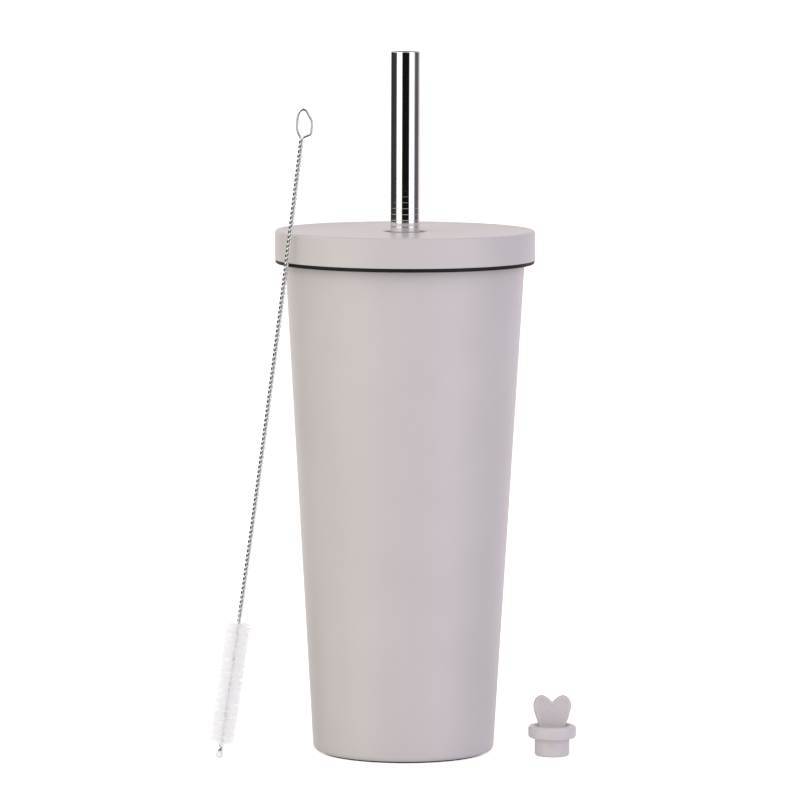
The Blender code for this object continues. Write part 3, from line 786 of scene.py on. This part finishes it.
def lid_liner(material):
    """The black moulding: skirt, lip under the cap, seal channel, threaded plug wall, disc and hub."""
    bottom = low("lid_liner").z
    top = high("lid_liner").z
    cap_edge = low("lid_cap").z
    skirt = outer_radius("lid_cap") - SHEET - GAP
    skirt_top = top - 0.7 * MM
    lip = outer_radius("lid_liner")
    lip_bottom = cap_edge - LINER_LIP_BOTTOM
    channel = lip - 2.9 * MM
    roof = high("lid_seal").z + GAP
    web = LINER_WEB
    plug = PLUG_WALL_RADIUS
    plug_bore = plug - LINER_PLUG_WALL
    hub_top = top - 1.1 * MM
    hole = outer_radius("straw_grommet") - 1.4 * MM
    corners = [
        (skirt - web, skirt_top, 0.3 * MM),
        (skirt - 0.1 * MM, skirt_top, 0.5 * MM),
        (skirt, cap_edge - LINER_LIP_TOP, 0),
        (lip, cap_edge - LINER_LIP_TOP, 0.15 * MM),
        (lip, lip_bottom, 1.4 * MM),
        (channel, lip_bottom, 0.2 * MM),
        (channel, roof, 0.3 * MM),
        (plug, roof, 0.3 * MM),
        (plug, bottom, 0.7 * MM),
        (plug_bore, bottom, 0.5 * MM),
        (plug_bore, top - web, 1.2 * MM),
        (14 * MM, top - web, 0.5 * MM),
        (10.5 * MM, hub_top - web, 0.5 * MM),
        (hole, hub_top - web, 0.1 * MM),
        (hole, hub_top, 0.1 * MM),
        (9.6 * MM, hub_top, 0.3 * MM),
        (10.6 * MM, top, 0.3 * MM),
        (plug, top, 0.3 * MM),
        (plug, roof + web, 0.5 * MM),
        (skirt - web, roof + web, 0.5 * MM),
    ]
    path = with_thread_points(rounded(corners, closed=True), plug, highest=roof)
    obj = turned("lid_inner", path, material, closed=True)
    start = high("inner_liner").z - THREAD_START_BELOW_RIM - THREAD_LEAD / 2
    add_thread(obj, plug, 0.1 * MM, start, THREAD_HEIGHT)
    finish_piece(obj, "lid", "lid_liner")


def lid_seal(material):
    """The seal ring with a pair of soft lips on its underside."""
    top = high("lid_seal").z
    bottom = low("lid_seal").z
    outer = outer_radius("lid_seal")
    inner = outer - SEAL_WIDTH
    groove = 0.4 * MM  # depth of the groove between the lips, and width of its slopes
    corners = [
        (inner, top, 0.3 * MM),
        (outer, top, 0.3 * MM),
        (outer, bottom, 0.4 * MM),
        (outer - SEAL_LIP, bottom, 0.2 * MM),
        (outer - SEAL_LIP - groove, bottom + groove, 0.2 * MM),
        (inner + SEAL_LIP + groove, bottom + groove, 0.2 * MM),
        (inner + SEAL_LIP, bottom, 0.2 * MM),
        (inner, bottom, 0.4 * MM),
    ]
    obj = turned("seal_ring", rounded(corners, closed=True), material, closed=True)
    finish_piece(obj, "seal", "lid_seal")


def straw_grommet(material):
    """The soft bush that the straw slides in, with two thin wiping ribs in its bore."""
    top = high("straw_grommet").z
    bottom = low("straw_grommet").z
    foot = outer_radius("straw_grommet")
    collar = foot - 0.9 * MM
    waist = foot - GROMMET_WALL
    bore = outer_radius("straw") + 0.4 * MM
    seat = top - GROMMET_COLLAR
    underside = seat - GROMMET_GROOVE
    corners = [
        (bore, top, 0.3 * MM),
        (collar, top, 0.4 * MM),
        (collar, seat, 0.1 * MM),
        (waist, seat, 0.1 * MM),
        (waist, underside, 0.1 * MM),
        (foot, underside, 0.3 * MM),
        (waist, bottom, 0.4 * MM),
        (bore, bottom, 0.2 * MM),
    ]
    for share in (0.3, 0.65):
        z = bottom + (top - bottom) * share
        corners += [(bore, z - 0.4 * MM, 0), (bore - 0.2 * MM, z, 0.15 * MM), (bore, z + 0.4 * MM, 0)]
    obj = turned("straw_bush", rounded(corners, closed=True), material, closed=True, segments=SMALL_SEGMENTS)
    finish_piece(obj, "lid", "straw_grommet")


def straw(material):
    """The tube, both ends rolled smooth, with shallow grip rings where it leaves the lid."""
    lowest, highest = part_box("straw")
    radius = outer_radius("straw")
    bore = radius - STRAW_WALL
    end = STRAW_WALL * 0.48
    half_steps = 6
    corners = [(bore, highest.z, end), (radius, highest.z, end)]
    for k in reversed(range(RING_COUNT)):
        centre = high("lid_cap").z + RING_FIRST + RING_PITCH * k
        for step in range(half_steps + 1, -half_steps - 2, -1):
            share = step / half_steps
            sunk = math.cos(share * math.pi / 2) ** 2 if abs(share) < 1 else 0.0
            corners.append((radius - RING_DEPTH * sunk, centre + RING_HALF * share, 0))
    corners += [(radius, lowest.z, end), (bore, lowest.z, end)]
    path = rounded(corners, closed=True)
    obj = turned("straw_tube", path, material, closed=True, segments=SMALL_SEGMENTS)
    finish_piece(obj, "straw", "straw")


# ---------------------------------------------------------------- the plug


def bezier(a, b, c, d, steps):
    """Points along a cubic curve, without its last one."""
    points = []
    for k in range(steps):
        t = k / steps
        point = a * (1 - t) ** 3 + 3 * b * t * (1 - t) ** 2 + 3 * c * t * t * (1 - t) + d * t**3
        points.append(point)
    return points


def heart_outline(top, stem_z):
    """The heart's outline, from the notch round the right lobe to the flange and back up the left side."""
    half = HEART_HALF_WIDTH
    lobe_pull = Vector((1.9 * MM, 0.0))
    notch = Vector((0.0, top - HEART_NOTCH))
    lobe = Vector((0.57 * half, top))
    widest = Vector((half, top - HEART_WIDEST))
    stem = Vector((0.62 * half, stem_z))
    curve = bezier(notch, notch + Vector((0.9, 1.0)) * MM, lobe - lobe_pull, lobe, 14)
    curve += bezier(lobe, lobe + lobe_pull, widest + Vector((0, 2.1 * MM)), widest, 12)
    curve += bezier(widest, widest - Vector((0, 2.4 * MM)), stem + Vector((0.13 * half, 3.6 * MM)), stem, 14)
    curve.append(stem)
    return curve + [Vector((-p.x, p.y)) for p in reversed(curve[1:])]


def heart_solid(place, top, stem_z, material):
    """The outline given its thickness: round edges, and both faces sunk a little inside a soft border."""
    outline = heart_outline(top, stem_z)
    steps = len(outline)
    inward = []
    for k in range(steps):
        along = (outline[(k + 1) % steps] - outline[k - 1]).normalized()
        inward.append(Vector((along.y, -along.x)))
    half = HEART_THICKNESS / 2
    round_steps = 10
    section = [(HEART_BORDER, HEART_RECESS - half)]
    for k in range(round_steps + 1):
        turn = math.pi * k / round_steps
        section.append((HEART_EDGE * (1 - math.sin(turn)), -half * math.cos(turn)))
    section.append((HEART_BORDER, half - HEART_RECESS))
    layers = len(section) - 1
    vertices = []
    for inset, y in section:
        for point, normal in zip(outline, inward):
            fade = min(1.0, (point.y - stem_z) / HEART_ROOT_FADE)
            edge = point + normal * inset * fade
            vertices.append((place[0] + edge.x, place[1] + y, edge.y))
    faces = [list(range(steps))[::-1]]
    for layer in range(layers):
        a = layer * steps
        for k in range(steps):
            n = (k + 1) % steps
            faces.append([a + k, a + n, a + steps + n, a + steps + k])
    faces.append([layers * steps + k for k in range(steps)])
    return mesh_object("heart", vertices, faces, material)


def straw_plug(material):
    """Stub, dished flange and heart grip, melted together with soft fillets as one moulding."""
    lowest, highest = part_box("straw_plug")
    centre = (lowest + highest) / 2
    flange = outer_radius("straw_plug")
    stub = flange - 2.6 * MM
    rim = PLUG_FLANGE_TOP
    dish = rim - PLUG_DISH_DEPTH
    underside = rim - PLUG_FLANGE_THICKNESS
    corners = [
        (0.0, dish, 0),
        (flange - 3.6 * MM, dish, 1.0 * MM),
        (flange - 2.3 * MM, rim, 0.6 * MM),
        (flange, rim, 2.2 * MM),
        (flange, underside, 1.1 * MM),
        (stub, underside, 0.1 * MM),
        (stub, 0.0, 1.1 * MM),
        (0.0, 0.0, 0),
    ]
    place = (centre.x, centre.y, 0)
    obj = turned("hole_plug", rounded(corners), material, segments=SMALL_SEGMENTS, place=place)
    heart = heart_solid(place, highest.z, dish - HEART_ROOT, material)
    join = obj.modifiers.new("join", "BOOLEAN")
    join.operation = "UNION"
    join.object = heart
    melt = obj.modifiers.new("melt", "REMESH")
    melt.mode = "VOXEL"
    melt.voxel_size = PLUG_VOXEL
    smooth = obj.modifiers.new("smooth", "SMOOTH")
    smooth.factor = 0.5
    smooth.iterations = 8
    graph = bpy.context.evaluated_depsgraph_get()
    mesh = bpy.data.meshes.new_from_object(obj.evaluated_get(graph))
    mesh.shade_smooth()
    obj.modifiers.clear()
    obj.data = mesh
    bpy.data.objects.remove(heart)
    finish_piece(obj, "plug", "straw_plug")


# ---------------------------------------------------------------- the brush


class BrushAxis:
    """The slightly bowed line of the brush's wire, from its tip to the top of its loop."""

    def __init__(self):
        points = node_points("brush_wire")
        tip_low, tip_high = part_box("brush_tip")
        self.tip = Vector(((tip_low.x + tip_high.x) / 2, (tip_low.y + tip_high.y) / 2, tip_low.z))
        top = Vector(points[points[:, 2].argmax()])
        reach = (points - self.tip) @ (top - self.tip).normalized()
        loop = Vector(points[reach > reach.max() - LOOP_SAMPLE].mean(0))
        back = Vector((0, 1, 0))
        offset = back.cross(loop - self.tip).normalized() * LOOP_OFFSET
        self.along = (loop - offset - self.tip).normalized()
        self.aside = back.cross(self.along).normalized()
        self.outward = self.along.cross(self.aside)
        self.length = ((points - self.tip) @ self.along).max()

    def at(self, distance, aside, outward):
        """The point at a distance from the tip, and beside the bowed line by two offsets."""
        share = distance / self.length
        bow = 4 * BRUSH_BOW * share * (1 - share)
        return self.tip + self.along * distance + self.aside * (aside + bow) + self.outward * outward


def bristle_span(axis):
    """Where the bristles start along the wire, measured from the tip, and how long their bundle is."""
    lowest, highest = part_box("brush_bristles")
    tilt = axis.along
    across = 2 * BRISTLE_RADIUS * math.hypot(tilt.x, tilt.y)
    length = (highest.z - lowest.z - across) / tilt.z
    middle = ((highest + lowest) / 2 - axis.tip).dot(tilt)
    return middle - length / 2, length


def loop_path(axis, start):
    """The finger loop's wire, rounder at the top and bent hard at one lower corner."""
    knots = [(-0.47, -0.6), (-0.47, 0.0), (-0.8, 0.7), (-1.7, 2.1), (-2.25, 3.9), (-2.4, 5.9), (-2.4, 8.0)]
    knots += [(-2.1, 9.7), (-1.4, 10.8), (-0.5, 11.2), (0.5, 10.9), (1.3, 9.9), (2.2, 8.6), (3.0, 7.5)]
    knots += [(3.4, 5.9), (3.5, 4.0), (3.4, 2.4), (2.8, 1.6), (1.6, 0.9), (0.5, 0.1), (0.47, -0.6)]
    steps = 6
    points = []
    for i in range(1, len(knots) - 2):
        p0, p1, p2, p3 = (Vector(knot) * MM for knot in knots[i - 1 : i + 3])
        for step in range(steps):
            t = step / steps
            # a Catmull-Rom curve, which passes through every knot
            bend = 2 * p1 + (p2 - p0) * t + (2 * p0 - 5 * p1 + 4 * p2 - p3) * t**2
            aside, up = (bend + (3 * p1 - p0 - 3 * p2 + p3) * t**3) / 2
            sway = LOOP_SWAY * math.cos(math.pi * (i + t) / len(knots))
            points.append(axis.at(start + up, aside, sway))
    return points


def brush_wire(material):
    """One wire folded at the loop, its two halves twisted round each other down to the tip."""
    axis = BrushAxis()
    loop_start = axis.length - LOOP_HEIGHT
    bristle_top = sum(bristle_span(axis))
    bottom = high("brush_tip").z - 0.2 * MM
    steps = int((loop_start - bottom) / STRAND_STEP)
    strands = []
    for angle in (0.0, math.pi):
        path = []
        for i in range(steps + 1):
            distance = loop_start - STRAND_STEP * i
            lead = TWIST_LEAD if distance > bristle_top else TWIST_LEAD_IN_BRISTLES
            angle += TAU * STRAND_STEP / lead
            path.append(axis.at(distance, -math.cos(angle) * STRAND_OFFSET, math.sin(angle) * STRAND_OFFSET))
        strands.append(path)
    path = strands[0][::-1] + loop_path(axis, loop_start) + strands[1]
    vertices, faces = tube(path, STRAND_RADIUS, 10)
    obj = mesh_object("twisted_wire", vertices, faces, material)
    obj.visible_shadow = False  # soft studio light leaves no shadow of so thin a wire on the cup
    finish_piece(obj, "brush", "brush_wire")


def brush_bristles(material):
    """Fine filaments gripped between the twisted wires, standing out all round in a close spiral."""
    axis = BrushAxis()
    draw = random.Random(11)
    start, length = bristle_span(axis)
    vertices = []
    faces = []
    for i in range(FILAMENTS):
        distance = start + length * (i + draw.random()) / FILAMENTS
        angle = TAU * distance / TWIST_LEAD_IN_BRISTLES + draw.gauss(0.0, FILAMENT_SPREAD)
        reach = BRISTLE_RADIUS * (1.0 - 0.03 * draw.random() ** 2)
        lean = draw.gauss(0.0, FILAMENT_FAN)
        curl = draw.gauss(0.0, FILAMENT_CURL)
        path = []
        for share in (-1.0, -0.5, 0.0, 0.5, 1.0):
            along = min(max(distance + lean * share + curl * share * share, start), start + length)
            drift = angle + FILAMENT_DRIFT * share
            path.append(axis.at(along, math.cos(drift) * reach * share, math.sin(drift) * reach * share))
        made, sides = tube(path, FILAMENT_RADIUS, 3)
        faces += [[index + len(vertices) for index in face] for face in sides]
        vertices += made
    obj = mesh_object("bristle_bundle", vertices, faces, material)
    finish_piece(obj, "brush", "brush_bristles")


def brush_tip(material):
    """The soft bead melted over the wires' cut ends."""
    lowest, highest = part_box("brush_tip")
    radius = outer_radius("brush_tip")
    centre = (lowest + highest) / 2
    height = highest.z - lowest.z
    steps = 24
    path = [(0.0, highest.z)]
    for k in range(1, steps):
        angle = math.pi * k / steps
        swell = (1.0 - BEAD_SWELL * math.cos(angle)) / (1.0 + BEAD_SWELL)
        path.append((radius * math.sin(angle) * swell, highest.z - height * (1 - math.cos(angle)) / 2))
    path.append((0.0, lowest.z))
    place = (centre.x, centre.y, 0)
    obj = turned("tip_bead", path, material, segments=BEAD_SEGMENTS, place=place)
    finish_piece(obj, "brush", "brush_tip")


# ---------------------------------------------------------------- the studio


def floor_material():
    """A near-white studio floor, part of whose light is its own, so that shadows stay faint."""
    shader = Shader("studio_floor")
    grain = shader.noise(0.9)
    shader.link(shader.tint(grain, (0.85, 0.85, 0.85), (0.87, 0.87, 0.87)), "Base Color")
    shader.set("Roughness", 0.9)
    shader.set("Specular IOR Level", 0.0)
    shader.set("Emission Color", (*WHITE, 1.0))
    seen = shader.node("ShaderNodeLightPath").outputs["Is Camera Ray"]
    shader.link(shader.between(seen, FLOOR_GLOW, FLOOR_SEEN_GLOW, 0.0, 1.0), "Emission Strength")
    return shader.material


def add_floor():
    mesh = bpy.data.meshes.new("floor")
    corners = [(x * FLOOR_REACH, y * FLOOR_REACH, 0) for x, y in ((-1, -1), (1, -1), (1, 1), (-1, 1))]
    mesh.from_pydata(corners, [], [(0, 1, 2, 3)])
    mesh.materials.append(floor_material())
    floor = bpy.data.objects.new("floor", mesh)
    floor.location.z = -FLOOR_DROP
    floor.visible_glossy = False
    bpy.context.scene.collection.objects.link(floor)


def add_camera():
    """A long lens 2.4 m away and a little above the straw, looking slightly down."""
    data = bpy.data.cameras.new("camera")
    data.lens = CAMERA_LENS
    data.sensor_width = 36.0
    data.clip_start = 0.1
    data.clip_end = 100.0
    camera = bpy.data.objects.new("camera", data)
    camera.location = CAMERA_PLACE
    look = Matrix.Rotation(math.pi / 2 - CAMERA_PITCH, 3, "X") @ Matrix.Rotation(CAMERA_ROLL, 3, "Z")
    camera.rotation_euler = look.to_euler()
    bpy.context.scene.collection.objects.link(camera)
    bpy.context.scene.camera = camera


def softbox(name, place, power, colour):
    """A large soft lamp that lights the matte pieces and isn't mirrored in the steel."""
    data = bpy.data.lights.new(name, "AREA")
    data.shape = "RECTANGLE"
    data.size, data.size_y = BOX_SIZE
    data.energy = power
    data.color = colour
    lamp = bpy.data.objects.new(name, data)
    lamp.location = place
    lamp.rotation_euler = (BOX_AIM - Vector(place)).to_track_quat("-Z", "Y").to_euler()
    lamp.visible_glossy = False
    bpy.context.scene.collection.objects.link(lamp)


def studio_world():
    """White for the camera, an even soft light for matte surfaces, and a striped studio for mirrors."""
    world = bpy.data.worlds.new("studio")
    bpy.context.scene.world = world
    world.use_nodes = True
    world.node_tree.nodes.clear()
    nodes = Nodes(world.node_tree)

    def background(colour, strength):
        return nodes.node("ShaderNodeBackground", {"Color": colour, "Strength": strength}).outputs[0]

    def choose(factor, off, on):
        return nodes.node("ShaderNodeMixShader", {0: factor, 1: off, 2: on}).outputs[0]

    def share(value):
        """Takes -1 to 1 into 0 to 1."""
        return nodes.maths("ADD", nodes.maths("MULTIPLY", value, 0.5), 0.5)

    direction = nodes.node("ShaderNodeTexCoord").outputs["Generated"]
    x, y, z = nodes.node("ShaderNodeSeparateXYZ", {0: direction}).outputs
    azimuth = nodes.maths("ARCTAN2", x, nodes.maths("MULTIPLY", y, -1.0))
    around = nodes.maths("ADD", nodes.maths("DIVIDE", azimuth, TAU), 0.5)
    height = share(z)

    def panorama(stops, height_stops):
        turned_stops = [(0.5 + degrees / 360.0, colour) for degrees, colour in stops]
        return nodes.mix(nodes.ramp(around, turned_stops), nodes.ramp(height, height_stops), "MULTIPLY")

    walls = panorama(MIRRORED_STUDIO, WALL_STOPS)
    ceiling = panorama(MIRRORED_CEILING, CEILING_STOPS)
    mirrored = background(nodes.mix(walls, ceiling, "LIGHTEN"), MIRROR_STRENGTH)
    fill = nodes.mix(nodes.ramp(share(x), FILL_STOPS), nodes.ramp(height, FILL_HEIGHT_STOPS), "MULTIPLY")
    even = background(fill, 1.0)
    seen = background((*WHITE, 1.0), 1.0)
    path = nodes.node("ShaderNodeLightPath")
    lit = choose(path.outputs["Is Glossy Ray"], even, mirrored)
    nodes.node("ShaderNodeOutputWorld", {"Surface": choose(path.outputs["Is Camera Ray"], lit, seen)})


def build_object():
    paint = powder_coat()
    steel = brushed_steel()
    black = black_plastic()
    dark = dark_silicone()
    outer_shell(paint)
    inner_liner(steel)
    base_plate(steel)
    port_bead(solder_glass())
    getter(getter_metal())
    base_pad(dark)
    lid_cap(paint)
    lid_liner(black)
    lid_seal(soft_silicone("clear_silicone", SEAL_CLEAR, 0.5, 2 * MM))
    straw_grommet(dark)
    straw(polished_steel())
    straw_plug(soft_silicone("grey_silicone", PLUG_GREY, 0.35, 1.5 * MM))
    brush_wire(wire_steel())
    brush_bristles(clear_nylon("clear_nylon", NYLON, NYLON_EDGE_SHADE, NYLON_PAINTED_GLOW))
    brush_tip(clear_nylon("clear_bead", BEAD, BEAD_EDGE_SHADE, BEAD_PAINTED_GLOW))


# ---------------------------------------------------------------- the scene

wall = wall_line()
build_object()
add_floor()
add_camera()
softbox("left_box", LEFT_BOX, LEFT_POWER, WARM)
softbox("right_box", RIGHT_BOX, RIGHT_POWER, COOL)
studio_world()
bpy.context.scene.view_settings.view_transform = "Standard"
